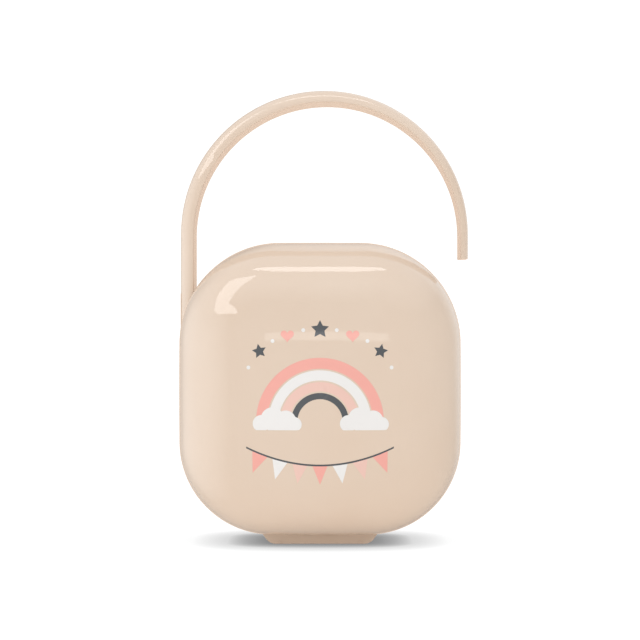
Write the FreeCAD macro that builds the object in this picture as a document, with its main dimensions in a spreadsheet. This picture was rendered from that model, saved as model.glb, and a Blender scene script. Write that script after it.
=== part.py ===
"""Pacifier case: two pillow-shaped covers, hinged at the foot of a centre ring with an open hook handle.

Frame: +Z is up, +X is the side of the handle's free tip, -Y is the front, and the origin is the centre of
the foot's underside. Lengths are millimetres.
"""
import FreeCAD
import Part
import Sketcher
import math
import os
import re

SIZES = {
    # outline of the body, seen from the front
    "body_width": 75.0,
    "body_height": 77.8,
    "top_corner_radius": 26.8,
    "bottom_corner_radius": 24.7,
    # centre ring
    "frame_depth": 14.0,
    "frame_wall": 3.2,
    "rim_round": 0.3,
    "scoop_radius": 40.0,
    "scoop_depth": 0.6,
    # covers
    "shell_depth": 24.0,
    "shell_wall": 2.2,
    "crown_radius": 120.0,
    "shell_edge_radius": 20.0,
    "rim_gap": 0.3,
    "tongue_thickness": 0.8,
    "tongue_height": 1.6,
    "tongue_gap_reach": 2.15,
    # snap hooks of the covers
    "hook_width": 10.0,
    "hook_thickness": 1.3,
    "hook_reach": 4.6,
    "hook_root": 5.0,
    "hook_bump": 0.5,
    "hook_bump_length": 1.6,
    # foot and hinges
    "foot_height": 2.4,
    "foot_block_inset": 0.35,
    "foot_block_depth": 6.2,
    "foot_block_round": 1.0,
    "skirt_top_width": 30.3,
    "skirt_slant": 1.8,
    "skirt_corner_radius": 3.0,
    "skirt_thickness": 1.0,
    "skirt_gap": 0.4,
    "nib_radius": 0.4,
    "nib_height": 0.25,
    "nib_spacing": 21.4,
    "barrel_radius": 1.6,
    "knuckle_length": 18.4,
    "ear_length": 3.5,
    "pin_radius": 0.6,
    "pin_engagement": 5.0,
    # handle
    "handle_radius": 38.7,
    "handle_rise": 2.5,
    "handle_crown_extra": 0.45,
    "handle_root_thickness": 3.7,
    "handle_tip_thickness": 2.3,
    "handle_tip_drop": 6.7,
    "handle_round_extra": 0.2,
    "handle_inner_round": 0.3,
    "handle_tip_round": 0.3,
    "handle_blend": 6.0,
    "tab_backing": 1.4,
    "tab_width": 9.0,
    "tab_length": 20.0,
    "peg_radius": 1.5,
    "peg_spacing": 12.0,
    "peg_backing": 0.4,
    # divider
    "divider_thickness": 1.6,
    "teat_hole_gap": 7.0,
    "collar_gap": 1.5,
    "collar_wall": 1.5,
    "collar_height": 3.0,
    "collar_round": 0.4,
    "ledge_height": 1.2,
    "ledge_thickness": 1.2,
    "clip_length": 8.0,
    "clip_height": 0.5,
    # fits
    "fit_clearance": 0.15,
    "hinge_clearance": 0.3,
    "pin_clearance": 0.05,
}

# Rules worked out from the sizes. Places are from the origin, and out is away from the middle plane.
BODY_TOP = "(foot_height + body_height)"
MID_HEIGHT = "(foot_height + body_height / 2)"
RIM_OUT = "(frame_depth / 2 + rim_gap)"
HINGE_OUT = "(frame_depth / 2 + rim_gap / 2)"
SKIRT_OUT = f"({HINGE_OUT} + barrel_radius + skirt_gap)"
EAR_END = "(knuckle_length / 2 + hinge_clearance + ear_length)"
HOOK_TOP = f"({BODY_TOP} - frame_wall - fit_clearance)"
HANDLE_ROOT = f"({BODY_TOP} - top_corner_radius + handle_blend)"
HANDLE_SPRING = f"({BODY_TOP} + handle_rise)"
INNER_SPRING = f"({HANDLE_SPRING} - handle_crown_extra)"
STRAP_LEFT = "(-body_width / 2)"
STRAP_RIGHT = "(2 * handle_radius - body_width / 2)"
STRAP_BLANK = "(handle_root_thickness + handle_crown_extra)"
STRAP_ROUND = "(handle_root_thickness + handle_round_extra)"
INSIDE_LEFT = f"({STRAP_LEFT} + handle_root_thickness)"
INSIDE_RIGHT = f"({STRAP_RIGHT} - handle_tip_thickness)"
TAB_THICKNESS = "(frame_wall - tab_backing)"
TAB_LOW = f"({HANDLE_ROOT} - tab_length)"
TAB_HIGH = f"({BODY_TOP} - top_corner_radius / 2)"
PEG_HEIGHTS = [f"({TAB_LOW} + tab_length / 2 {sign} peg_spacing / 2)" for sign in "-+"]
COLLAR_EDGE = "(frame_wall + ledge_height + collar_gap)"
TEAT_RADIUS = f"((body_height - 2 * ({COLLAR_EDGE} + collar_wall) - teat_hole_gap) / 4)"

# The room for the round of a cover's edge: it leaves some straight wall at the rim, also in the corners.
CORNER_REACH = (
    "(sqrt((body_width / 2 - bottom_corner_radius)^2 + (body_height / 2 - bottom_corner_radius)^2)"
    " + bottom_corner_radius)"
)
CROWN_DROP = "(crown_radius + 2 * rim_round - shell_depth)"
EDGE_ROOM = f"((crown_radius^2 - {CORNER_REACH}^2 - {CROWN_DROP}^2) / (2 * (crown_radius - {CORNER_REACH})))"

TINY = 0.01
QUARTER_TURN = math.pi / 2
SIDES = ("-", "")

doc = FreeCAD.newDocument("PacifierCase")


def make_sheet():
    """Write the driving dimensions to a spreadsheet, one alias for each."""
    sheet = doc.addObject("Spreadsheet::Sheet", "Sizes")
    for row, (alias, size) in enumerate(SIZES.items(), start=1):
        sheet.set(f"A{row}", alias)
        sheet.set(f"B{row}", str(size))
        sheet.setAlias(f"B{row}", alias)
    doc.recompute()
    return sheet


sheet = make_sheet()


def expression(rule):
    """Turn a rule written with bare aliases into an expression on the spreadsheet."""
    def on_sheet(word):
        return f"Sizes.{word.group()}" if word.group() in SIZES else word.group()
    return re.sub(r"[a-z_]+", on_sheet, rule)


def value(rule):
    """The present value of a rule, where geometry starts before its constraints hold it."""
    return float(sheet.evalExpression(expression(rule)))


def bind(thing, prop, rule):
    thing.setExpression(prop, expression(rule))


# Sketches

def origin_plane(body, role):
    return next(feature for feature in body.Origin.OriginFeatures if feature.Role == role)


def sketch_on(body, role, name, out="0", up="0"):
    """A sketch on an origin plane, moved along its normal by out and along its own y axis by up."""
    sketch = body.newObject("Sketcher::SketchObject", name)
    sketch.AttachmentSupport = [(origin_plane(body, role), "")]
    sketch.MapMode = "FlatFace"
    bind(sketch, "AttachmentOffset.Base.z", out)
    bind(sketch, "AttachmentOffset.Base.y", up)
    return sketch


def constrain(sketch, kind, *places):
    return sketch.addConstraint(Sketcher.Constraint(kind, *places))


def dimension(sketch, kind, places, rule):
    """Add a dimension to a sketch and bind it to the sheet."""
    index = constrain(sketch, kind, *places, value(rule))
    bind(sketch, f"Constraints[{index}]", rule)


def place_point(sketch, geometry, end, across, upward):
    """Fix a point of a sketch by signed rules for its two coordinates."""
    for kind, rule in (("DistanceX", across), ("DistanceY", upward)):
        if value(rule) < 0:
            dimension(sketch, kind, (geometry, end, -1, 1), f"-({rule})")
        else:
            dimension(sketch, kind, (-1, 1, geometry, end), rule)


def draw_line(sketch, start, end):
    return sketch.addGeometry(Part.LineSegment(FreeCAD.Vector(*start, 0), FreeCAD.Vector(*end, 0)))


def draw_arc(sketch, centre, radius, start, end):
    circle = Part.Circle(FreeCAD.Vector(*centre, 0), FreeCAD.Vector(0, 0, 1), radius)
    return sketch.addGeometry(Part.ArcOfCircle(circle, start, end))


def draw_circle(sketch, across, upward, radius):
    centre = FreeCAD.Vector(value(across), value(upward), 0)
    circle = sketch.addGeometry(Part.Circle(centre, FreeCAD.Vector(0, 0, 1), value(radius)))
    dimension(sketch, "Radius", (circle,), radius)
    place_point(sketch, circle, 3, across, upward)


def draw_polygon(sketch, corners):
    """A closed polygon whose corners are pairs of rules."""
    points = [(value(across), value(upward)) for across, upward in corners]
    lines = [draw_line(sketch, start, end) for start, end in zip(points, points[1:] + points[:1])]
    for line, following in zip(lines, lines[1:] + lines[:1]):
        constrain(sketch, "Coincident", line, 2, following, 1)
    for line, (across, upward) in zip(lines, corners):
        place_point(sketch, line, 1, across, upward)


def draw_rectangle(sketch, left, right, low, high):
    draw_polygon(sketch, [(left, low), (right, low), (right, high), (left, high)])


def draw_outline(sketch, inset):
    """The body's outline, drawn inside the body's edge by inset."""
    half_width = f"(body_width / 2 - ({inset}))"
    low = f"(foot_height + {inset})"
    high = f"({BODY_TOP} - ({inset}))"
    low_radius = f"(bottom_corner_radius - ({inset}))"
    high_radius = f"(top_corner_radius - ({inset}))"
    x, z0, z1 = value(half_width), value(low), value(high)
    r0, r1 = value(low_radius), value(high_radius)
    bottom = draw_line(sketch, (r0 - x, z0), (x - r0, z0))
    low_right = draw_arc(sketch, (x - r0, z0 + r0), r0, -QUARTER_TURN, 0)
    right = draw_line(sketch, (x, z0 + r0), (x, z1 - r1))
    high_right = draw_arc(sketch, (x - r1, z1 - r1), r1, 0, QUARTER_TURN)
    top = draw_line(sketch, (x - r1, z1), (r1 - x, z1))
    high_left = draw_arc(sketch, (r1 - x, z1 - r1), r1, QUARTER_TURN, 2 * QUARTER_TURN)
    left = draw_line(sketch, (-x, z1 - r1), (-x, z0 + r0))
    low_left = draw_arc(sketch, (r0 - x, z0 + r0), r0, 2 * QUARTER_TURN, 3 * QUARTER_TURN)
    loop = [bottom, low_right, right, high_right, top, high_left, left, low_left]
    for piece, following in zip(loop, loop[1:] + loop[:1]):
        constrain(sketch, "Tangent", piece, 2, following, 1)
    for line in (bottom, top):
        constrain(sketch, "Horizontal", line)
    for line in (left, right):
        constrain(sketch, "Vertical", line)
    constrain(sketch, "Equal", low_right, low_left)
    constrain(sketch, "Equal", high_right, high_left)
    dimension(sketch, "Radius", (low_right,), low_radius)
    dimension(sketch, "Radius", (high_right,), high_radius)
    dimension(sketch, "DistanceX", (-1, 1, right, 1), half_width)
    dimension(sketch, "DistanceX", (left, 1, -1, 1), half_width)
    dimension(sketch, "DistanceY", (-1, 1, bottom, 1), low)
    dimension(sketch, "DistanceY", (-1, 1, top, 1), high)


# Features

def new_body(label):
    body = doc.addObject("PartDesign::Body", label)
    body.Label = label
    return body


def volume(body):
    return 0 if body.Shape.isNull() else body.Shape.Volume


def settle(body, feature, before):
    """Make a feature the body's tip, and stop if it leaves the body's volume as it was before."""
    body.Tip = feature
    doc.recompute()
    if abs(volume(body) - before) < TINY ** 2:
        raise ValueError(f"{feature.Name} changes nothing")
    return feature


def extrude(body, kind, sketch, length, reverse=False, both_ways=False):
    """Pad or pocket a sketch. Both ways spreads the length evenly about the sketch."""
    before = volume(body)
    feature = body.newObject(f"PartDesign::{kind}", f"{sketch.Name}_{kind.lower()}")
    feature.Profile = sketch
    feature.Reversed = reverse
    feature.SideType = "Symmetric" if both_ways else "One side"
    bind(feature, "Length", length)
    return settle(body, feature, before)


def mirror(body, original, role, name):
    """Repeat a feature of a body on the other side of an origin plane."""
    before = volume(body)
    feature = body.newObject("PartDesign::Mirrored", name)
    feature.Originals = [original]
    feature.MirrorPlane = (origin_plane(body, role), [""])
    return settle(body, feature, before)


def fillet(body, picked, radius, name):
    """Round the edges of the body's tip that the test picks."""
    before = volume(body)
    base = body.Tip
    names = [f"Edge{number}" for number, edge in enumerate(base.Shape.Edges, start=1) if picked(edge)]
    feature = body.newObject("PartDesign::Fillet", name)
    feature.Base = (base, names)
    bind(feature, "Radius", radius)
    return settle(body, feature, before)


def edges_at(x=None, y=None, z=None):
    """A test for edges that lie wholly at the given places."""
    places = [(axis, place) for axis, place in (("X", x), ("Y", y), ("Z", z)) if place is not None]

    def test(edge):
        box = edge.BoundBox
        ends = [(getattr(box, axis + end), place) for axis, place in places for end in ("Min", "Max")]
        return all(abs(found - place) < TINY for found, place in ends)
    return test


def either(tests):
    """A test for edges that pass any of several tests."""
    return lambda edge: any(test(edge) for test in tests)


def outer_edges(faces):
    """A test for the edges round the outside of faces."""
    wanted = [edge for face in faces for edge in face.OuterWire.Edges]
    return lambda edge: any(edge.isSame(own) for own in wanted)


# Covers

def make_dome(body, inset):
    """A closed pillow inside the cover's outer face by inset: the outline, crowned and rounded at its edge."""
    outline = sketch_on(body, "XZ_Plane", f"{body.Name}_outline", out=f"{RIM_OUT} - ({inset})")
    draw_outline(outline, inset)
    extrude(body, "Pad", outline, "shell_depth + shell_wall")
    crown_dome(body, inset)
    crown = next(face for face in body.Tip.Shape.Faces if isinstance(face.Surface, Part.Sphere))
    radius = f"min(shell_edge_radius; {EDGE_ROOM}) - ({inset})"
    fillet(body, outer_edges([crown]), radius, f"{body.Name}_edge")


def crown_dome(body, inset):
    """Turn the pillow's flat front into a cap of a large sphere."""
    sketch = sketch_on(body, "YZ_Plane", f"{body.Name}_crown", up=MID_HEIGHT)
    cap_radius = f"(crown_radius - ({inset}))"
    cap_front = f"({RIM_OUT} + shell_depth - ({inset}))"
    cut_front = f"({RIM_OUT} + shell_depth + 2 * shell_wall)"
    cut_height = "((body_width + body_height) / 3)"
    radius, height = value(cap_radius), value(cut_height)
    apex, ahead = -value(cap_front), -value(cut_front)
    edge = apex + radius - (radius ** 2 - height ** 2) ** 0.5
    middle = apex + radius - (radius ** 2 - height ** 2 / 4) ** 0.5
    points = [FreeCAD.Vector(*point, 0) for point in ((edge, height), (middle, height / 2), (apex, 0))]
    cap = sketch.addGeometry(Part.Arc(*points))
    top = draw_line(sketch, (edge, height), (ahead, height))
    front = draw_line(sketch, (ahead, height), (ahead, 0))
    base = draw_line(sketch, (ahead, 0), (apex, 0))
    constrain(sketch, "Coincident", cap, 1, top, 1)
    constrain(sketch, "Coincident", top, 2, front, 1)
    constrain(sketch, "Coincident", front, 2, base, 1)
    constrain(sketch, "Coincident", base, 2, cap, 2)
    constrain(sketch, "PointOnObject", cap, 3, -1)
    constrain(sketch, "PointOnObject", cap, 2, -1)
    constrain(sketch, "PointOnObject", front, 2, -1)
    constrain(sketch, "Horizontal", top)
    constrain(sketch, "Vertical", front)
    dimension(sketch, "Radius", (cap,), cap_radius)
    dimension(sketch, "DistanceX", (cap, 2, -1, 1), cap_front)
    dimension(sketch, "DistanceX", (front, 1, -1, 1), cut_front)
    dimension(sketch, "DistanceY", (-1, 1, top, 1), cut_height)
    before = volume(body)
    groove = body.newObject("PartDesign::Groove", f"{body.Name}_crown_groove")
    groove.Profile = sketch
    groove.ReferenceAxis = (sketch, ["H_Axis"])
    groove.Angle = 360
    settle(body, groove, before)


def hollow(body):
    """Leave only the pillow's wall, open at the rim."""
    core = new_body("shell_core")
    make_dome(core, "shell_wall")
    before = volume(body)
    cut = body.newObject("PartDesign::Boolean", "shell_hollow")
    cut.Type = "Cut"
    cut.setObjects([core])
    settle(body, cut, before)


def add_tongue(body):
    """The thin lip on the rim that enters the ring. It stops short of the hinge."""
    lip = sketch_on(body, "XZ_Plane", "tongue", out=RIM_OUT)
    draw_outline(lip, "shell_wall - tongue_thickness")
    draw_outline(lip, "shell_wall")
    extrude(body, "Pad", lip, "tongue_height", reverse=True)
    gap = sketch_on(body, "XZ_Plane", "tongue_gap", out=RIM_OUT)
    half_width = f"({EAR_END} + tongue_gap_reach)"
    draw_rectangle(gap, f"-{half_width}", half_width, "foot_height", "foot_height + 2 * shell_wall")
    extrude(body, "Pocket", gap, "tongue_height")


def add_hook(body):
    """The snap hook at the top: a finger under the ring's wall with a small bump at its end."""
    profile = sketch_on(body, "YZ_Plane", "hook")
    low = f"{HOOK_TOP} - hook_thickness"
    in_wall = f"{BODY_TOP} - shell_wall / 2"
    root, end = f"-({RIM_OUT} + hook_root)", f"(hook_reach - {RIM_OUT})"
    draw_polygon(profile, [
        (root, low),
        (end, low),
        (end, HOOK_TOP),
        (f"{end} - hook_bump_length / 2", f"{HOOK_TOP} + hook_bump"),
        (f"{end} - hook_bump_length", HOOK_TOP),
        (f"-{RIM_OUT}", HOOK_TOP),
        (f"-{RIM_OUT}", in_wall),
        (root, in_wall),
    ])
    extrude(body, "Pad", profile, "hook_width", both_ways=True)


def add_skirt(body):
    """The visible foot: a plate under the rim that hides the hinge, with two small nibs at its lower edge."""
    plate = sketch_on(body, "XZ_Plane", "skirt", out=SKIRT_OUT)
    high, in_wall = "skirt_top_width / 2", "foot_height + shell_wall / 2"
    low = f"({high} - skirt_slant)"
    draw_polygon(plate, [
        (f"-{low}", "0"),
        (low, "0"),
        (high, "foot_height"),
        (high, in_wall),
        (f"-{high}", in_wall),
        (f"-{high}", "foot_height"),
    ])
    extrude(body, "Pad", plate, "skirt_thickness")
    corners = [edges_at(x=value(f"{side}{low}"), z=0) for side in SIDES]
    fillet(body, either(corners), "skirt_corner_radius", "skirt_corners")
    nibs = sketch_on(body, "XZ_Plane", "nibs", out=f"{SKIRT_OUT} + skirt_thickness / 2")
    for side in SIDES:
        draw_circle(nibs, f"{side}nib_spacing / 2", "nib_radius", "nib_radius")
    extrude(body, "Pad", nibs, "skirt_thickness / 2 + nib_height")


def add_knuckle(body):
    """Room for the ring's ears, then the barrel that turns between them and its web to the skirt."""
    room = sketch_on(body, "YZ_Plane", "ear_room")
    draw_circle(room, f"-{HINGE_OUT}", "foot_height", "barrel_radius + hinge_clearance")
    extrude(body, "Pocket", room, f"2 * ({EAR_END} + hinge_clearance)", both_ways=True)
    web = sketch_on(body, "YZ_Plane", "knuckle_web")
    draw_rectangle(web, f"-({SKIRT_OUT} + skirt_thickness / 2)", f"-{HINGE_OUT}",
                   "foot_height - barrel_radius", "foot_height + shell_wall / 2")
    extrude(body, "Pad", web, "knuckle_length", both_ways=True)
    barrel = sketch_on(body, "YZ_Plane", "knuckle")
    draw_circle(barrel, f"-{HINGE_OUT}", "foot_height", "barrel_radius")
    extrude(body, "Pad", barrel, "knuckle_length", both_ways=True)
    bore = sketch_on(body, "YZ_Plane", "knuckle_bore")
    draw_circle(bore, f"-{HINGE_OUT}", "foot_height", "pin_radius + pin_clearance")
    extrude(body, "Pocket", bore, "knuckle_length", both_ways=True)


def make_front_shell():
    body = new_body("front_shell")
    make_dome(body, "0")
    fillet(body, edges_at(y=-value(RIM_OUT)), "rim_round", "shell_rim")
    hollow(body)
    add_tongue(body)
    add_hook(body)
    add_skirt(body)
    add_knuckle(body)
    return body


def make_rear_shell(front):
    """The rear cover is the front one mirrored through the ring's middle plane."""
    shell = doc.addObject("Part::Mirroring", "rear_shell")
    shell.Label = "rear_shell"
    shell.Source = front
    shell.Normal = FreeCAD.Vector(0, 1, 0)
    return shell


# Centre ring

def add_divider_seat(body):
    """A ledge behind the divider and three clips in front of it."""
    ledge = sketch_on(body, "XZ_Plane", "ledge", out="-(divider_thickness / 2 + ledge_thickness)")
    draw_outline(ledge, "frame_wall / 2")
    draw_outline(ledge, "frame_wall + ledge_height")
    extrude(body, "Pad", ledge, "ledge_thickness")
    clips = sketch_on(body, "XZ_Plane", "clips", out="divider_thickness / 2")
    far, near = "(body_width / 2 - frame_wall / 2)", "(body_width / 2 - frame_wall - clip_height)"
    low, high = f"{MID_HEIGHT} - clip_length / 2", f"{MID_HEIGHT} + clip_length / 2"
    draw_rectangle(clips, f"-{far}", f"-{near}", low, high)
    draw_rectangle(clips, near, far, low, high)
    draw_rectangle(clips, "-clip_length / 2", "clip_length / 2",
                   "foot_height + frame_wall / 2", "foot_height + frame_wall + clip_height")
    extrude(body, "Pad", clips, "ledge_thickness")


def add_hook_windows(body):
    """The two slots in the top wall that the covers' hooks snap into."""
    windows = sketch_on(body, "YZ_Plane", "hook_windows")
    near = f"({RIM_OUT} - hook_reach - hinge_clearance)"
    far = f"({RIM_OUT} - hook_reach + hook_bump_length + hinge_clearance)"
    low, high = f"{HOOK_TOP} - fit_clearance", f"{HOOK_TOP} + hook_bump + hinge_clearance"
    draw_rectangle(windows, f"-{far}", f"-{near}", low, high)
    draw_rectangle(windows, near, far, low, high)
    extrude(body, "Pocket", windows, "hook_width + 2 * hinge_clearance", both_ways=True)


def add_finger_scoop(body):
    """A shallow dip across the top, where a fingertip reaches the rim of a cover."""
    scoop = sketch_on(body, "XZ_Plane", "finger_scoop")
    draw_circle(scoop, "0", f"{BODY_TOP} + scoop_radius - scoop_depth", "scoop_radius")
    extrude(body, "Pocket", scoop, "frame_depth", both_ways=True)


def add_foot_block(body):
    """The flat block under the ring that the case stands on."""
    block = sketch_on(body, "XY_Plane", "foot_block")
    wide, deep = "(skirt_top_width / 2 - skirt_slant - foot_block_inset)", "foot_block_depth / 2"
    draw_rectangle(block, f"-{wide}", wide, f"-{deep}", deep)
    extrude(body, "Pad", block, "foot_height + frame_wall / 2")
    corners = [edges_at(x=value(f"{a}{wide}"), y=value(f"{b}{deep}")) for a in SIDES for b in SIDES]
    fillet(body, either(corners), "foot_block_round", "foot_block_corners")


def add_hinge_ears(body):
    """Room in each lower rim for the cover's barrel, and beside it the ears with their pin holes."""
    room = sketch_on(body, "YZ_Plane", "barrel_room")
    ears = sketch_on(body, "YZ_Plane", "ears", out=f"{EAR_END} - ear_length")
    holes = sketch_on(body, "YZ_Plane", "pin_holes")
    for side in SIDES:
        draw_circle(room, f"{side}{HINGE_OUT}", "foot_height", "barrel_radius + hinge_clearance")
        draw_circle(ears, f"{side}{HINGE_OUT}", "foot_height", "barrel_radius")
        draw_circle(holes, f"{side}{HINGE_OUT}", "foot_height", "pin_radius")
    extrude(body, "Pocket", room, "knuckle_length + 2 * hinge_clearance", both_ways=True)
    right_ears = extrude(body, "Pad", ears, "ear_length")
    mirror(body, right_ears, "YZ_Plane", "left_ears")
    extrude(body, "Pocket", holes, f"2 * ({EAR_END} + pin_engagement)", both_ways=True)


def add_handle_seat(body):
    """The recess in the left wall for the handle's tab, with two peg holes."""
    recess = sketch_on(body, "YZ_Plane", "tab_recess", out="-body_width / 2")
    half_width = "(tab_width / 2 + fit_clearance)"
    draw_rectangle(recess, f"-{half_width}", half_width, f"{TAB_LOW} - fit_clearance", TAB_HIGH)
    extrude(body, "Pocket", recess, f"{TAB_THICKNESS} + fit_clearance", reverse=True)
    holes = sketch_on(body, "YZ_Plane", "peg_holes", out="-body_width / 2")
    for height in PEG_HEIGHTS:
        draw_circle(holes, "0", height, "peg_radius + pin_clearance")
    extrude(body, "Pocket", holes, "frame_wall - peg_backing + fit_clearance", reverse=True)


def make_centre_frame():
    body = new_body("centre_frame")
    ring = sketch_on(body, "XZ_Plane", "ring")
    draw_outline(ring, "0")
    draw_outline(ring, "frame_wall")
    extrude(body, "Pad", ring, "frame_depth", both_ways=True)
    ends = [face for face in body.Tip.Shape.Faces if face.BoundBox.YLength < TINY]
    fillet(body, outer_edges(ends), "rim_round", "ring_rims")
    rebate = sketch_on(body, "XZ_Plane", "rebate", out="frame_depth / 2")
    draw_outline(rebate, "shell_wall - tongue_thickness - fit_clearance")
    front_rebate = extrude(body, "Pocket", rebate, "tongue_height")
    mirror(body, front_rebate, "XZ_Plane", "rear_rebate")
    add_divider_seat(body)
    add_hook_windows(body)
    add_finger_scoop(body)
    add_foot_block(body)
    add_hinge_ears(body)
    add_handle_seat(body)
    return body


# Handle

def draw_strap_section(sketch, outer, inner, side):
    """The strap's section, its two outer corners rounded. Side is 1 if the inside lies to the right of it."""
    half = "(frame_depth / 2)"
    x, x_in, y, r = value(outer), value(inner), value(half), value(STRAP_ROUND)
    turn = (2 - side) * QUARTER_TURN
    middle = x + side * r
    first = draw_line(sketch, (x_in, side * y), (middle, side * y))
    corner = draw_arc(sketch, (middle, side * (y - r)), r, turn, turn + QUARTER_TURN)
    crown = draw_line(sketch, (x, side * (y - r)), (x, side * (r - y)))
    other = draw_arc(sketch, (middle, side * (r - y)), r, turn + QUARTER_TURN, turn + 2 * QUARTER_TURN)
    last = draw_line(sketch, (middle, -side * y), (x_in, -side * y))
    back = draw_line(sketch, (x_in, -side * y), (x_in, side * y))
    rounded = [first, corner, crown, other, last]
    for piece, following in zip(rounded, rounded[1:]):
        constrain(sketch, "Tangent", piece, 2, following, 1)
    constrain(sketch, "Coincident", last, 2, back, 1)
    constrain(sketch, "Coincident", back, 2, first, 1)
    constrain(sketch, "Horizontal", first)
    constrain(sketch, "Horizontal", last)
    constrain(sketch, "Vertical", crown)
    constrain(sketch, "Equal", corner, other)
    dimension(sketch, "Radius", (corner,), STRAP_ROUND)
    place_point(sketch, back, 1, inner, f"{-side} * {half}")
    place_point(sketch, back, 2, inner, f"{side} * {half}")
    if x < 0:
        dimension(sketch, "DistanceX", (crown, 1, -1, 1), f"-{outer}")
    else:
        dimension(sketch, "DistanceX", (-1, 1, crown, 1), outer)


def draw_strap_inside(sketch):
    """The space inside the hook, seen from the front: up the arm, over the arch and down past the tip."""
    low = f"({HANDLE_ROOT} - handle_root_thickness)"
    left, right = value(INSIDE_LEFT), value(INSIDE_RIGHT)
    base, spring = value(low), value(INNER_SPRING)
    arm = draw_line(sketch, (left, base), (left, spring))
    arch = draw_arc(sketch, ((left + right) / 2, spring), (right - left) / 2, 0, 2 * QUARTER_TURN)
    leg = draw_line(sketch, (right, spring), (right, base))
    floor = draw_line(sketch, (right, base), (left, base))
    constrain(sketch, "Tangent", arm, 2, arch, 2)
    constrain(sketch, "Tangent", arch, 1, leg, 1)
    constrain(sketch, "Coincident", leg, 2, floor, 1)
    constrain(sketch, "Coincident", floor, 2, arm, 1)
    constrain(sketch, "Vertical", arm)
    constrain(sketch, "Vertical", leg)
    constrain(sketch, "Horizontal", floor)
    place_point(sketch, floor, 2, INSIDE_LEFT, low)
    dimension(sketch, "DistanceX", (-1, 1, floor, 1), INSIDE_RIGHT)
    dimension(sketch, "DistanceY", (-1, 1, arm, 2), INNER_SPRING)


def bend_strap(body, section):
    """Turn the arm's section over the arch."""
    middle = f"({STRAP_LEFT} + handle_radius)"
    axis = draw_line(section, (value(middle), -1), (value(middle), 1))
    section.toggleConstruction(axis)
    place_point(section, axis, 1, middle, "-frame_depth / 2")
    place_point(section, axis, 2, middle, "frame_depth / 2")
    before = volume(body)
    arch = body.newObject("PartDesign::Revolution", "strap_arch")
    arch.Profile = section
    arch.ReferenceAxis = (section, ["Axis0"])
    arch.Angle = 180
    settle(body, arch, before)


def inside_edges():
    """A test for the strap's two long edges on its inside."""
    left, right, spring = value(INSIDE_LEFT), value(INSIDE_RIGHT), value(INNER_SPRING)

    def inside(point):
        reach = math.hypot(point.x - (left + right) / 2, max(point.z - spring, 0))
        return abs(reach - (right - left) / 2) < TINY

    def test(edge):
        first, last = edge.ParameterRange
        points = [edge.valueAt(first + (last - first) * share) for share in (0, 0.5, 1)]
        box = edge.BoundBox
        return box.ZLength > TINY and box.YLength < value("frame_depth") / 2 and all(map(inside, points))
    return test


def make_strap(body):
    """The open hook: a section rounded on its outside, cut to the arch of its inside, so it thins to the tip."""
    arm = sketch_on(body, "XY_Plane", "strap_arm", out=HANDLE_SPRING)
    draw_strap_section(arm, STRAP_LEFT, f"({STRAP_LEFT} + {STRAP_BLANK})", 1)
    bend_strap(body, arm)
    extrude(body, "Pad", arm, f"{HANDLE_SPRING} - {HANDLE_ROOT}", reverse=True)
    leg = sketch_on(body, "XY_Plane", "strap_leg", out=HANDLE_SPRING)
    draw_strap_section(leg, STRAP_RIGHT, f"({STRAP_RIGHT} - {STRAP_BLANK})", -1)
    extrude(body, "Pad", leg, "handle_tip_drop", reverse=True)
    inside = sketch_on(body, "XZ_Plane", "strap_inside")
    draw_strap_inside(inside)
    extrude(body, "Pocket", inside, "2 * frame_depth", both_ways=True)
    fillet(body, inside_edges(), "handle_inner_round", "strap_inner_round")
    tip = value(f"{HANDLE_SPRING} - handle_tip_drop")
    fillet(body, edges_at(z=tip), "handle_tip_round", "strap_tip_round")


def make_carry_handle():
    """An open hook of flat strap, cut to the ring's corner, with a pegged tab that sits in the ring's wall."""
    body = new_body("carry_handle")
    make_strap(body)
    ring_room = sketch_on(body, "XZ_Plane", "ring_room")
    draw_outline(ring_room, "-fit_clearance")
    extrude(body, "Pocket", ring_room, "2 * frame_depth", both_ways=True)
    tab = sketch_on(body, "YZ_Plane", "tab", out="-body_width / 2")
    draw_rectangle(tab, "-tab_width / 2", "tab_width / 2", TAB_LOW, TAB_HIGH)
    extrude(body, "Pad", tab, TAB_THICKNESS)
    pegs = sketch_on(body, "YZ_Plane", "pegs", out=f"{TAB_THICKNESS} / 2 - body_width / 2")
    for height in PEG_HEIGHTS:
        draw_circle(pegs, "0", height, "peg_radius")
    extrude(body, "Pad", pegs, f"frame_wall - peg_backing - {TAB_THICKNESS} / 2")
    return body


# Divider

def make_divider():
    """The plate between the compartments, with a collared hole for the teat of each pacifier."""
    body = new_body("divider")
    plate = sketch_on(body, "XZ_Plane", "plate")
    draw_outline(plate, "frame_wall + fit_clearance")
    extrude(body, "Pad", plate, "divider_thickness", both_ways=True)
    collar_radius = f"({TEAT_RADIUS} + collar_wall)"
    collar_reach = f"({COLLAR_EDGE} + {collar_radius})"
    upper, lower = f"({BODY_TOP} - {collar_reach})", f"(foot_height + {collar_reach})"
    collar_end = "(divider_thickness / 2 + collar_height)"
    for name, height, to_rear in (("front_collar", upper, False), ("rear_collar", lower, True)):
        collar = sketch_on(body, "XZ_Plane", name)
        draw_circle(collar, "0", height, collar_radius)
        extrude(body, "Pad", collar, collar_end, reverse=to_rear)
    holes = sketch_on(body, "XZ_Plane", "teat_holes")
    for height in (upper, lower):
        draw_circle(holes, "0", height, TEAT_RADIUS)
    extrude(body, "Pocket", holes, f"2 * {collar_end}", both_ways=True)
    rims = [edges_at(y=value(f"{side}{collar_end}")) for side in SIDES]
    fillet(body, either(rims), "collar_round", "collar_rims")
    return body


# Hinge pins

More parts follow.
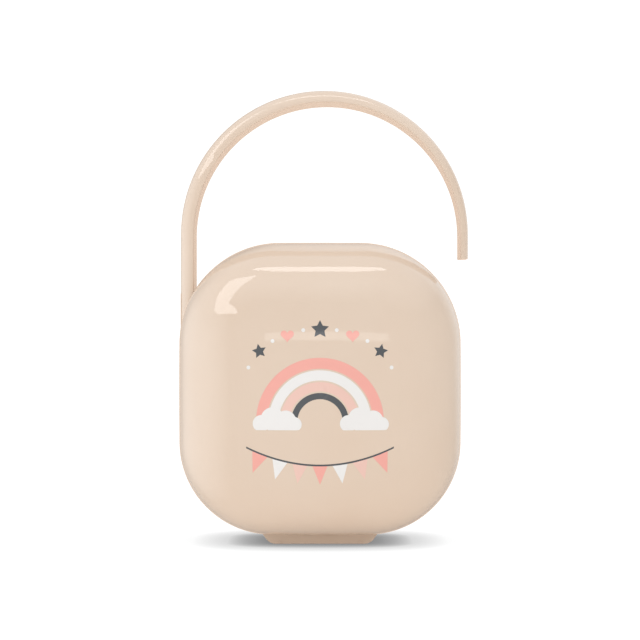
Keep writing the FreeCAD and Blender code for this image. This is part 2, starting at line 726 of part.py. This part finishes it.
def make_hinge_pin(end, along, side, across):
    """A short pin, pressed into an ear and running in the cover's barrel."""
    pin = doc.addObject("Part::Cylinder", f"{end}_{side}_hinge_pin")
    pin.Label = pin.Name
    bind(pin, "Radius", "pin_radius")
    bind(pin, "Height", "pin_engagement + ear_length")
    turn = FreeCAD.Rotation(FreeCAD.Vector(0, 1, 0), 90 * across)
    pin.Placement = FreeCAD.Placement(FreeCAD.Vector(0, 0, 0), turn)
    bind(pin, "Placement.Base.x", f"{across} * ({EAR_END} - ear_length - pin_engagement)")
    bind(pin, "Placement.Base.y", f"{along} * {HINGE_OUT}")
    bind(pin, "Placement.Base.z", "foot_height")
    return pin


def make_parts():
    front_shell = make_front_shell()
    rear_shell = make_rear_shell(front_shell)
    parts = [front_shell, rear_shell, make_centre_frame(), make_carry_handle(), make_divider()]
    for end, along in (("front", -1), ("rear", 1)):
        for side, across in (("left", -1), ("right", 1)):
            parts.append(make_hinge_pin(end, along, side, across))
    doc.recompute()
    return parts


def check_model(parts):
    """Stop if any feature failed or any sub-part isn't one valid solid."""
    for thing in doc.Objects:
        if "Invalid" in thing.State or "Error" in thing.State:
            raise ValueError(f"{thing.Name} failed: {thing.State}")
    for part in parts:
        if part.Shape.isNull() or not part.Shape.isValid() or len(part.Shape.Solids) != 1:
            raise ValueError(f"{part.Label} isn't one valid solid")


parts = make_parts()
check_model(parts)
os.makedirs("parts", exist_ok=True)
for part in parts:
    part.Shape.exportStep(f"parts/{part.Label}.step")
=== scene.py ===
"""Pacifier case: materials, a printed decoration, floor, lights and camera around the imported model."""
import math

import bpy
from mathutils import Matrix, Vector
from mathutils.bvhtree import BVHTree
from mathutils.geometry import barycentric_transform


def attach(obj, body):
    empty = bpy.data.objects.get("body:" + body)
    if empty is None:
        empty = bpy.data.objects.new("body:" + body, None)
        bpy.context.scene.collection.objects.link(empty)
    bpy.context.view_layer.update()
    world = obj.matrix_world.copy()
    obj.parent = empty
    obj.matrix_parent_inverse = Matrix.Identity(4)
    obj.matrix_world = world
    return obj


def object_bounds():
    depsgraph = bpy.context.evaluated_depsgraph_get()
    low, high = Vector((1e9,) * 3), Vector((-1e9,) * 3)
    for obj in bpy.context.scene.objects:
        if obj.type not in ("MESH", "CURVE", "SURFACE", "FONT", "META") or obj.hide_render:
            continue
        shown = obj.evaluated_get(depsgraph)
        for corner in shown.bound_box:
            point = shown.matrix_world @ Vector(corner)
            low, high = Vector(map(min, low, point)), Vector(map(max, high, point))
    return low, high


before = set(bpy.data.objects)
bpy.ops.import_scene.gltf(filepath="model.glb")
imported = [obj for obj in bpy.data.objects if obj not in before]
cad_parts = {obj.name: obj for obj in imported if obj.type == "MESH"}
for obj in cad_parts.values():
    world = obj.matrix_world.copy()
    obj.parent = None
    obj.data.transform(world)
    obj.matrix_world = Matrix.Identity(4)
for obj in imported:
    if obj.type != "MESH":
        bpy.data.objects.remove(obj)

CAD_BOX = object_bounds()
MM = 0.001

# Camera: level, square to the front, at the middle of the picture's height.
CAMERA_HEIGHT = 59.6 * MM
CAMERA_DISTANCE = 568 * MM
CAMERA_LENS = 117.8

# Colours, linear, each with the shade that it drifts to.
BEIGE = (0.78, 0.635, 0.515)
BEIGE_DRIFT = (0.765, 0.61, 0.485)
IVORY = (0.83, 0.765, 0.69)
IVORY_DRIFT = (0.80, 0.73, 0.65)
PIN_WHITE = (0.82, 0.80, 0.76)
PIN_DRIFT = (0.77, 0.75, 0.71)
PINK = (0.93, 0.45, 0.39)
PINK_DRIFT = (0.90, 0.42, 0.36)
BLUSH = (0.88, 0.60, 0.52)
BLUSH_DRIFT = (0.85, 0.57, 0.49)
WHITE = (0.88, 0.865, 0.85)
WHITE_DRIFT = (0.85, 0.83, 0.81)
GREY = (0.115, 0.122, 0.13)
GREY_DRIFT = (0.095, 0.10, 0.107)
FLOOR_WHITE = (0.92, 0.92, 0.92)
FLOOR_DRIFT = (0.90, 0.90, 0.89)

# Moulded surfaces: how fine the drift of colour and of gloss is, per metre, and the span of noise it uses.
PLASTIC_IOR = 1.5
DRIFT_SCALE = 28.0
DRIFT_DETAIL = 3.0
DRIFT_SPAN = (0.35, 0.7)
GLOSS_SCALE = 140.0
GLOSS_DETAIL = 4.0
GLOSS_SPAN = (0.3, 0.7)
GRAIN_DETAIL = 2.0

# Roughness from lowest to highest, and the size and height of the surface grain in millimetres.
GLOSSY = dict(gloss=(0.02, 0.05), grain_size=2.5, grain_height=0.0004)
SATIN = dict(gloss=(0.32, 0.44), grain_size=0.25, grain_height=0.004)
INK = dict(gloss=(0.04, 0.09), grain_size=0.3, grain_height=0.0004)
DULL = dict(gloss=(0.75, 0.9), grain_size=3.0, grain_height=0.01)


# Materials

def add_node(tree, kind, **sockets):
    """A shader node with its input sockets set. An underscore in a name stands for a space."""
    node = tree.nodes.new(f"ShaderNode{kind}")
    for name, amount in sockets.items():
        node.inputs[name.replace("_", " ")].default_value = amount
    return node


def noise(tree, place, scale, detail):
    """A noise texture over the object's own metres."""
    texture = add_node(tree, "TexNoise", Scale=scale, Detail=detail)
    tree.links.new(place.outputs["Object"], texture.inputs["Vector"])
    return texture.outputs["Fac"]


def moulded(name, colour, drift, gloss, grain_size, grain_height):
    """Moulded plastic or ink: a colour that drifts a little, gloss that varies and a fine grain."""
    material = bpy.data.materials.new(name)
    material.use_nodes = True
    tree = material.node_tree
    shader = tree.nodes["Principled BSDF"]
    shader.inputs["IOR"].default_value = PLASTIC_IOR
    place = tree.nodes.new("ShaderNodeTexCoord")

    shades = tree.nodes.new("ShaderNodeValToRGB")
    for stop, shade, position in zip(shades.color_ramp.elements, (colour, drift), DRIFT_SPAN):
        stop.color = (*shade, 1)
        stop.position = position
    tree.links.new(noise(tree, place, DRIFT_SCALE, DRIFT_DETAIL), shades.inputs["Fac"])
    tree.links.new(shades.outputs["Color"], shader.inputs["Base Color"])

    start, end = GLOSS_SPAN
    low, high = gloss
    rough = add_node(tree, "MapRange", From_Min=start, From_Max=end, To_Min=low, To_Max=high)
    tree.links.new(noise(tree, place, GLOSS_SCALE, GLOSS_DETAIL), rough.inputs["Value"])
    tree.links.new(rough.outputs["Result"], shader.inputs["Roughness"])

    bump = add_node(tree, "Bump", Strength=1.0, Distance=grain_height * MM)
    tree.links.new(noise(tree, place, 1 / (grain_size * MM), GRAIN_DETAIL), bump.inputs["Height"])
    tree.links.new(bump.outputs["Normal"], shader.inputs["Normal"])
    return material


def dress_nodes():
    """The CAD solids' own materials."""
    cover = moulded("cover_plastic", BEIGE, BEIGE_DRIFT, **GLOSSY)
    divider = moulded("divider_plastic", IVORY, IVORY_DRIFT, **SATIN)
    pin = moulded("pin_plastic", PIN_WHITE, PIN_DRIFT, **SATIN)
    plastics = {
        "front_shell": cover,
        "rear_shell": cover,
        "centre_frame": moulded("frame_plastic", BEIGE, BEIGE_DRIFT, **GLOSSY),
        "carry_handle": moulded("handle_plastic", BEIGE, BEIGE_DRIFT, **GLOSSY),
        "divider": divider,
    }
    for name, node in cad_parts.items():
        for place in node.material_slots:
            place.material = plastics.get(name, pin)


# Printed decoration: thin layers of ink laid on the front cover

# How far the ink stands out and each layer above the last, how deep it is rooted, and its mesh steps.
INK_LIFT = 0.02 * MM
LAYER_STEP = 0.01 * MM
INK_ROOT = 0.06 * MM
PRINT_STEP = 0.5
CIRCLE_STEPS = 40
HEART_STEPS = 72
CLOUD_STEPS = 120
ARC_STEPS = 100
STRING_STEPS = 90
STAR_SIDE_STEPS = 6
PENNANT_SIDE_STEPS = 12

front_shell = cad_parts["front_shell"]
cover_face = BVHTree.FromObject(front_shell, bpy.context.evaluated_depsgraph_get())
pink_ink = moulded("pink_ink", PINK, PINK_DRIFT, **INK)
blush_ink = moulded("blush_ink", BLUSH, BLUSH_DRIFT, **INK)
white_ink = moulded("white_ink", WHITE, WHITE_DRIFT, **INK)
grey_ink = moulded("grey_ink", GREY, GREY_DRIFT, **INK)


def on_cover(x, z):
    """The point of the front cover's outer face at x and z in millimetres, and its smooth normal."""
    ahead = Vector((x * MM, CAD_BOX[0].y - 1, z * MM))
    point, _, index, _ = cover_face.ray_cast(ahead, Vector((0, 1, 0)))
    mesh = front_shell.data
    face = mesh.polygons[index]
    corners = [mesh.vertices[vertex].co for vertex in face.vertices]
    normals = [mesh.corner_normals[loop].vector for loop in face.loop_indices]
    return point, barycentric_transform(point, *corners, *normals).normalized()


def print_patch(name, points, faces, ink, layer):
    """A thin closed patch of ink on the cover, given as points (x, z) and faces that look ahead."""
    spots = [on_cover(x, z) for x, z in points]
    lift = INK_LIFT + layer * LAYER_STEP
    top = [point + normal * lift for point, normal in spots]
    root = [point - normal * INK_ROOT for point, normal in spots]
    count = len(points)
    under = [tuple(count + corner for corner in reversed(face)) for face in faces]
    edges = {pair for face in faces for pair in zip(face, face[1:] + face[:1])}
    rim = sorted(pair for pair in edges if pair[::-1] not in edges)
    walls = [(b, a, count + a, count + b) for a, b in rim]
    mesh = bpy.data.meshes.new(name)
    mesh.from_pydata(top + root, [], faces + under + walls)
    mesh.polygons.foreach_set("use_smooth", [True] * len(mesh.polygons))
    mesh.normals_split_custom_set_from_vertices([normal for _, normal in spots] * 2)
    mesh.materials.append(ink)
    patch = bpy.data.objects.new(name, mesh)
    bpy.context.collection.objects.link(patch)
    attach(patch, "front_cover")


def row_faces(rows, count, closed, start=0):
    """Faces between rows of count points each, from the point start on."""
    faces = []
    for row in range(rows - 1):
        here = start + row * count
        for step in range(count if closed else count - 1):
            after = (step + 1) % count
            faces.append((here + step, here + count + step, here + count + after, here + after))
    return faces


def blend(first, second, share):
    """The row of points part of the way from one row to another."""
    return [(a + (c - a) * share, b + (d - b) * share) for (a, b), (c, d) in zip(first, second)]


def print_band(name, first, last, width, ink, layer=0):
    """A band between two open rows of points."""
    rows = math.ceil(width / PRINT_STEP) + 1
    points = [point for row in range(rows) for point in blend(first, last, row / (rows - 1))]
    print_patch(name, points, row_faces(rows, len(first), False), ink, layer)


def print_blob(name, centre, outline, ink, layer=0):
    """A filled patch. Its outline runs anticlockwise, and the centre sees all of it."""
    reach = max(math.hypot(x - centre[0], z - centre[1]) for x, z in outline)
    rows = math.ceil(reach / PRINT_STEP)
    count = len(outline)
    hub = [centre] * count
    points = [centre]
    for row in range(rows):
        points += blend(hub, outline, (row + 1) / rows)
    fan = [(0, 1 + step, 1 + (step + 1) % count) for step in range(count)]
    print_patch(name, points, fan + row_faces(rows, count, True, 1), ink, layer)


def arc(centre, radius, start, end, count):
    """Points on an arc, angles in degrees."""
    angles = [math.radians(start + (end - start) * step / (count - 1)) for step in range(count)]
    return [(centre[0] + radius * math.cos(a), centre[1] + radius * math.sin(a)) for a in angles]


def circle(centre, radius):
    return arc(centre, radius, 0, 360 * (CIRCLE_STEPS - 1) / CIRCLE_STEPS, CIRCLE_STEPS)


def side_points(corners, steps):
    """Points along the sides of a polygon."""
    points = []
    for (a, b), (c, d) in zip(corners, corners[1:] + corners[:1]):
        points += [(a + (c - a) * step / steps, b + (d - b) * step / steps) for step in range(steps)]
    return points


def star(centre, radius, turn):
    """A star with its first point upwards, turned by some degrees."""
    corners = []
    count = 2 * STAR_POINTS
    for corner in range(count):
        reach = radius if corner % 2 == 0 else radius * STAR_WAIST
        angle = math.radians(90 + turn + 360 * corner / count)
        corners.append((centre[0] + reach * math.cos(angle), centre[1] + reach * math.sin(angle)))
    return side_points(corners, STAR_SIDE_STEPS)


def heart(centre, radius):
    """The well-known heart curve, 16 units to each side, with its middle 2 units below its own origin."""
    half, drop = 16, 2
    points = []
    for step in range(HEART_STEPS):
        t = -2 * math.pi * step / HEART_STEPS
        x = half * math.sin(t) ** 3
        z = 13 * math.cos(t) - 5 * math.cos(2 * t) - 2 * math.cos(3 * t) - math.cos(4 * t)
        points.append((centre[0] + radius * x / half, centre[1] + radius * (z + drop) / half))
    return points


def cloud(centre, puffs, base):
    """The outline of overlapping round puffs (x, z, radius) about the centre, cut flat at the base."""
    points = []
    for step in range(CLOUD_STEPS):
        angle = 2 * math.pi * step / CLOUD_STEPS
        across, up = math.cos(angle), math.sin(angle)
        reach = 0
        for x, z, radius in puffs:
            along = x * across + z * up
            beside = radius ** 2 - (x ** 2 + z ** 2 - along ** 2)
            if beside > 0:
                reach = max(reach, along + math.sqrt(beside))
        if up < 0:
            reach = min(reach, base / up)
        points.append((centre[0] + reach * across, centre[1] + reach * up))
    return points


# Places and sizes of the motifs in millimetres: (x, z), then radius and turn.
RAINBOW_CENTRE = (0.0, 33.5)
RAINBOW_BANDS = [
    ("rainbow_pink", 13.6, 16.4, pink_ink),
    ("rainbow_white", 10.6, 13.2, white_ink),
    ("rainbow_blush", 7.8, 10.2, blush_ink),
    ("rainbow_grey", 5.8, 7.4, grey_ink),
]
CLOUD_PUFFS = [(-3.9, -0.3, 2.2), (-1.0, 0.9, 3.0), (2.4, 0.5, 2.6), (4.6, -0.5, 1.9), (0.0, -0.9, 2.4)]
CLOUD_BASE = -2.0
CLOUDS = [("cloud_left", (-11.2, 33.3)), ("cloud_right", (11.2, 33.3))]
STAR_POINTS = 5
STAR_WAIST = 0.5
STARS = [(-15.6, 51.6, 1.9, 12), (0.0, 57.2, 2.4, 0), (15.6, 51.6, 1.9, -12)]
HEARTS = [(-8.4, 55.4, 1.7), (8.4, 55.4, 1.7)]
DOTS = [(-12.2, 54.2), (-4.3, 57.0), (4.3, 57.0), (12.2, 54.2), (-18.4, 47.4), (18.4, 47.4)]
DOT_RADIUS = 0.5
STRING_HALF = 19.0
STRING_LOW = 22.2
STRING_SAG = 4.6
STRING_WIDTH = 0.45
PENNANTS = 7
PENNANT_MARGIN = 0.4
PENNANT_WIDTH = 4.0
PENNANT_LENGTH = 5.0


def string_height(x):
    """The garland's string hangs in a shallow curve."""
    return STRING_LOW + STRING_SAG * (x / STRING_HALF) ** 2


def print_garland():
    across = [STRING_HALF * (2 * step / (STRING_STEPS - 1) - 1) for step in range(STRING_STEPS)]
    upper = [(x, string_height(x) + STRING_WIDTH / 2) for x in across]
    lower = [(x, string_height(x) - STRING_WIDTH / 2) for x in across]
    print_band("garland_string", upper, lower, STRING_WIDTH, grey_ink, layer=1)
    pitch = 2 * STRING_HALF / (PENNANTS + PENNANT_MARGIN)
    for index in range(PENNANTS):
        x = pitch * (index - (PENNANTS - 1) / 2)
        left, right = x - PENNANT_WIDTH / 2, x + PENNANT_WIDTH / 2
        slope = 2 * STRING_SAG * x / STRING_HALF ** 2
        tip = (x + slope * PENNANT_LENGTH, string_height(x) - PENNANT_LENGTH)
        corners = [(left, string_height(left)), tip, (right, string_height(right))]
        centre = (sum(c[0] for c in corners) / 3, sum(c[1] for c in corners) / 3)
        ink = (pink_ink, white_ink, blush_ink)[index % 3]
        print_blob(f"pennant_{index + 1}", centre, side_points(corners, PENNANT_SIDE_STEPS), ink)


def print_rainbow():
    for name, inner, outer, ink in RAINBOW_BANDS:
        rows = [arc(RAINBOW_CENTRE, radius, 0, 180, ARC_STEPS) for radius in (inner, outer)]
        print_band(name, *rows, outer - inner, ink)
    for name, centre in CLOUDS:
        print_blob(name, centre, cloud(centre, CLOUD_PUFFS, CLOUD_BASE), white_ink, layer=1)


def print_sky():
    for index, (x, z, radius, turn) in enumerate(STARS, 1):
        print_blob(f"star_{index}", (x, z), star((x, z), radius, turn), grey_ink)
    for index, (x, z, radius) in enumerate(HEARTS, 1):
        print_blob(f"heart_{index}", (x, z), heart((x, z), radius), pink_ink)
    for index, centre in enumerate(DOTS, 1):
        print_blob(f"dot_{index}", centre, circle(centre, DOT_RADIUS), white_ink)


# Stage: a plain floor, soft lights, a white surround and the camera

# Floor: it glows softly at the object. A painted shade is a reach, and the light left where the object
# fills it.
FLOOR_HALF = 3.0
FLOOR_DROP = 0.02 * MM
FLOOR_GLOW = (0.24, 0.24, 0.24, 1)
SHADES = [(5 * MM, 0.36), (10 * MM, 0.66), (50 * MM, 0.68)]

# Surround: each slope is a direction, the cosines between which it grows, and how much it adds there.
WHITE_STRENGTH = 1.16
FILL_COLOUR = (1, 0.995, 0.99)
FILL_BASE = 0.2
FILL_SLOPES = [((-1, 0, 0), -1, 1, 0.24), ((0, -1, 0), -0.6, 1, 0.3), ((0, 0, 1), 0, 1, 0.85)]
ROOM_COLOUR = (0.96, 1, 1.03)
ROOM_BASE = 0.3
ROOM_SLOPES = [
    ((0, 0, 1), 0.42, 0.78, 1.1),
    ((-1, 0, 0), 0.6, 1, 1.6),
    ((0.4, 0.85, 0.34), 0.8, 1, 0.82),
    ((0, 0.7, 0.71), 0.85, 0.97, -0.3),
    ((-0.7, 0.7, 0.1), 0.8, 1, 0.3),
]
BACKDROP_COLOUR = (0.84, 0.65, 0.52)
BACKDROP_SLOPE = ((0, 1, 0), 0.88, 0.97, 1)

# Softbox: its corners as seen from the cover, in degrees: the turn from straight ahead, and the rise.
SOFTBOX_AIM = (-0.024, -0.025, 0.065)
SOFTBOX_CORNERS = [
    (-51, 64), (-91, 50), (-84, 36), (-77, 27), (-63, 25), (-44, 25),
    (-33, 23.5), (-43, 30), (-56, 34), (-56, 43), (-53, 56),
]
SOFTBOX_RADIANCE = 4.4

# Overhead strip: a crescent, front and back edge in metres, and how sharply each bends at its ends.
STRIP_HEIGHT = 1.08
STRIP_STEPS = 17
STRIP_ENDS = -0.064
STRIP_FRONT = dict(half=0.437, middle=-0.296, power=2.3)
STRIP_BACK = dict(half=0.31, middle=-0.13, power=4)
STRIP_RADIANCE = 5.2

# Front strip: a narrow lamp far in front, which shows as a faint line in the cover.
FRONT_STRIP_PLACE = (0.055, -1.5, 0.4)
FRONT_STRIP_AIM = (0.055, 0, 0.06)
FRONT_STRIP_WIDTH = 0.95
FRONT_STRIP_HEIGHT = 0.062
FRONT_STRIP_RADIANCE = 1.6


def combine(tree, operation, first, outputs):
    """Values added or multiplied one after another, from a first value."""
    total = None
    for output in outputs:
        step = tree.nodes.new("ShaderNodeMath")
        step.operation = operation
        step.inputs[0].default_value = first
        if total:
            tree.links.new(total, step.inputs[0])
        tree.links.new(output, step.inputs[1])
        total = step.outputs["Value"]
    return total


def contact_shade(tree):
    """The painted shadow under the object: how bright the floor stays, a dark core with wider, softer
    rings around it.
    """
    rings = []
    for reach, left in SHADES:
        near = add_node(tree, "AmbientOcclusion", Distance=reach)
        ring = add_node(tree, "MapRange", To_Min=left)
        tree.links.new(near.outputs["AO"], ring.inputs["Value"])
        rings.append(ring.outputs["Result"])
    return combine(tree, "MULTIPLY", 1, rings)


def make_floor():
    """A white floor. To the camera it is clear, and darker by a painted shadow only where the object
    stands close above it.
    """
    around = [(-1, -1), (1, -1), (1, 1), (-1, 1)]
    corners = [(FLOOR_HALF * x, FLOOR_HALF * y, -FLOOR_DROP) for x, y in around]
    mesh = bpy.data.meshes.new("floor")
    mesh.from_pydata(corners, [], [(0, 1, 2, 3)])
    white = moulded("floor_white", FLOOR_WHITE, FLOOR_DRIFT, **DULL)
    tree = white.node_tree
    shader = tree.nodes["Principled BSDF"]
    shader.inputs["Emission Color"].default_value = FLOOR_GLOW
    rays = tree.nodes.new("ShaderNodeLightPath")
    tree.links.new(rays.outputs["Is Diffuse Ray"], shader.inputs["Emission Strength"])
    # To the camera: a clear sheet tinted by the painted shadow from how near the object is above
    clear = tree.nodes.new("ShaderNodeBsdfTransparent")
    tree.links.new(contact_shade(tree), clear.inputs["Color"])
    seen = choose(tree, rays.outputs["Is Camera Ray"], shader.outputs["BSDF"], clear.outputs["BSDF"])
    tree.links.new(seen, tree.nodes["Material Output"].inputs["Surface"])
    mesh.materials.append(white)
    floor = bpy.data.objects.new("floor", mesh)
    floor.visible_glossy = False
    bpy.context.collection.objects.link(floor)


def soft_light(name, place, aim, width, height, radiance):
    """A soft panel of even brightness that shows only in the gloss."""
    lamp = bpy.data.lights.new(name, "AREA")
    lamp.shape = "RECTANGLE"
    lamp.size = width
    lamp.size_y = height
    lamp.energy = radiance * math.pi * width * height
    panel = bpy.data.objects.new(name, lamp)
    panel.location = place
    panel.rotation_mode = "QUATERNION"
    panel.rotation_quaternion = (Vector(aim) - Vector(place)).to_track_quat("-Z", "Y")
    panel.visible_camera = False
    panel.visible_diffuse = False
    bpy.context.collection.objects.link(panel)


def glow_panel(name, points, radiance):
    """A bright panel cut to the shape of its reflection, which shows only in the gloss."""
    mesh = bpy.data.meshes.new(name)
    mesh.from_pydata(points, [], [range(len(points))])
    glow = bpy.data.materials.new(name)
    glow.use_nodes = True
    shader = glow.node_tree.nodes["Principled BSDF"]
    shader.inputs["Base Color"].default_value = (0, 0, 0, 1)
    shader.inputs["Emission Color"].default_value = (1, 1, 1, 1)
    shader.inputs["Emission Strength"].default_value = radiance
    mesh.materials.append(glow)
    panel = bpy.data.objects.new(name, mesh)
    panel.visible_camera = False
    panel.visible_diffuse = False
    panel.visible_shadow = False
    bpy.context.collection.objects.link(panel)


def hang_softbox():
    """The large softbox on the left, one metre away."""
    points = []
    for turn, rise in SOFTBOX_CORNERS:
        level = math.cos(math.radians(rise))
        across, ahead = math.sin(math.radians(turn)) * level, math.cos(math.radians(turn)) * level
        points.append(Vector(SOFTBOX_AIM) + Vector((across, -ahead, math.sin(math.radians(rise)))))
    glow_panel("left_softbox", points, SOFTBOX_RADIANCE)


def strip_edge(half, middle, power):
    """One edge of the overhead strip, from left to right. It bends back towards its ends."""
    points = []
    for step in range(STRIP_STEPS):
        share = 2 * step / (STRIP_STEPS - 1) - 1
        y = middle + (STRIP_ENDS - middle) * abs(share) ** power
        points.append((half * share, y, STRIP_HEIGHT))
    return points


def hang_strip():
    """The overhead strip, a crescent with its hollow side to the back."""
    outline = strip_edge(**STRIP_FRONT) + strip_edge(**STRIP_BACK)[::-1]
    glow_panel("overhead_strip", outline, STRIP_RADIANCE)


def light_stage():
    hang_strip()
    soft_light("front_strip", FRONT_STRIP_PLACE, FRONT_STRIP_AIM,
               FRONT_STRIP_WIDTH, FRONT_STRIP_HEIGHT, FRONT_STRIP_RADIANCE)
    hang_softbox()


def towards(tree, way, direction, start, end, strength):
    """A brightness that grows as the way turns towards a direction."""
    along = tree.nodes.new("ShaderNodeVectorMath")
    along.operation = "DOT_PRODUCT"
    along.inputs[1].default_value = direction
    tree.links.new(way, along.inputs[0])
    slope = add_node(tree, "MapRange", From_Min=start, From_Max=end, To_Max=strength)
    tree.links.new(along.outputs["Value"], slope.inputs["Value"])
    return slope.outputs["Result"]


def surround(tree, way, colour, base, slopes):
    """A background of one colour, brightened or dimmed by slopes."""
    total = combine(tree, "ADD", base, [towards(tree, way, *slope) for slope in slopes])
    background = add_node(tree, "Background", Color=(*colour, 1))
    tree.links.new(total, background.inputs["Strength"])
    return background.outputs["Background"]


def choose(tree, share, first, second):
    """One shader or the other, by a share from 0 to 1."""
    mix = tree.nodes.new("ShaderNodeMixShader")
    tree.links.new(share, mix.inputs["Fac"])
    tree.links.new(first, mix.inputs[1])
    tree.links.new(second, mix.inputs[2])
    return mix.outputs["Shader"]


def make_world():
    """White to the camera, a soft fill to the surfaces, and a room with a warm backdrop to the gloss."""
    world = bpy.data.worlds.new("surround")
    bpy.context.scene.world = world
    world.use_nodes = True
    tree = world.node_tree
    tree.nodes.clear()
    way = tree.nodes.new("ShaderNodeTexCoord").outputs["Generated"]
    rays = tree.nodes.new("ShaderNodeLightPath")
    fill = surround(tree, way, FILL_COLOUR, FILL_BASE, FILL_SLOPES)
    room = surround(tree, way, ROOM_COLOUR, ROOM_BASE, ROOM_SLOPES)
    backdrop = add_node(tree, "Background", Color=(*BACKDROP_COLOUR, 1), Strength=1)
    behind = towards(tree, way, *BACKDROP_SLOPE)
    gloss = choose(tree, behind, room, backdrop.outputs["Background"])
    white = add_node(tree, "Background", Color=(1, 1, 1, 1), Strength=WHITE_STRENGTH)
    lit = choose(tree, rays.outputs["Is Glossy Ray"], fill, gloss)
    seen = choose(tree, rays.outputs["Is Camera Ray"], lit, white.outputs["Background"])
    output = tree.nodes.new("ShaderNodeOutputWorld")
    tree.links.new(seen, output.inputs["Surface"])


def make_camera():
    lens = bpy.data.cameras.new("camera")
    lens.lens = CAMERA_LENS
    camera = bpy.data.objects.new("camera", lens)
    camera.location = (0, -CAMERA_DISTANCE, CAMERA_HEIGHT)
    camera.rotation_euler = (math.pi / 2, 0, 0)
    bpy.context.collection.objects.link(camera)
    bpy.context.scene.camera = camera


dress_nodes()
print_rainbow()
print_sky()
print_garland()
make_floor()
light_stage()
make_world()
make_camera()
bpy.context.scene.view_settings.view_transform = "Standard"
